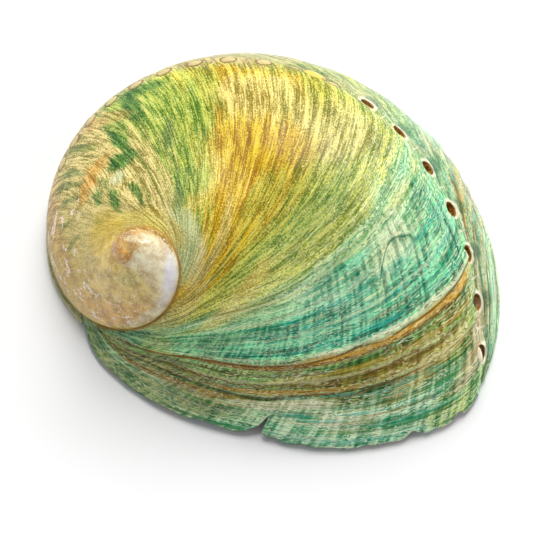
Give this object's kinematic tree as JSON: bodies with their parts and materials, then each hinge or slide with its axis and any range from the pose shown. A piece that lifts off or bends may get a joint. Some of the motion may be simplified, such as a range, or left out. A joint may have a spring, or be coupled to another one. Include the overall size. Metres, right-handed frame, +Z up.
{
  "type": "abalone shell",
  "caption": "Polished ear-shaped abalone shell with a low spire, a row of breathing pores along its keel and an open pearly hollow underneath.",
  "frame": {"origin": "centre of the shell's outline, on the surface it rests on", "axes": "+X along the longest side of its plan towards the newest growth, the spire being at -X; +Y towards the side with the pore row; +Z up out of the back"},
  "size_m": [0.0887, 0.072, 0.0261],
  "materials": {
    "polished_shell": "gloss"
  },
  "bodies": {
    "root": {"abalone_shell": "polished_shell"}
  },
  "joints": []
}
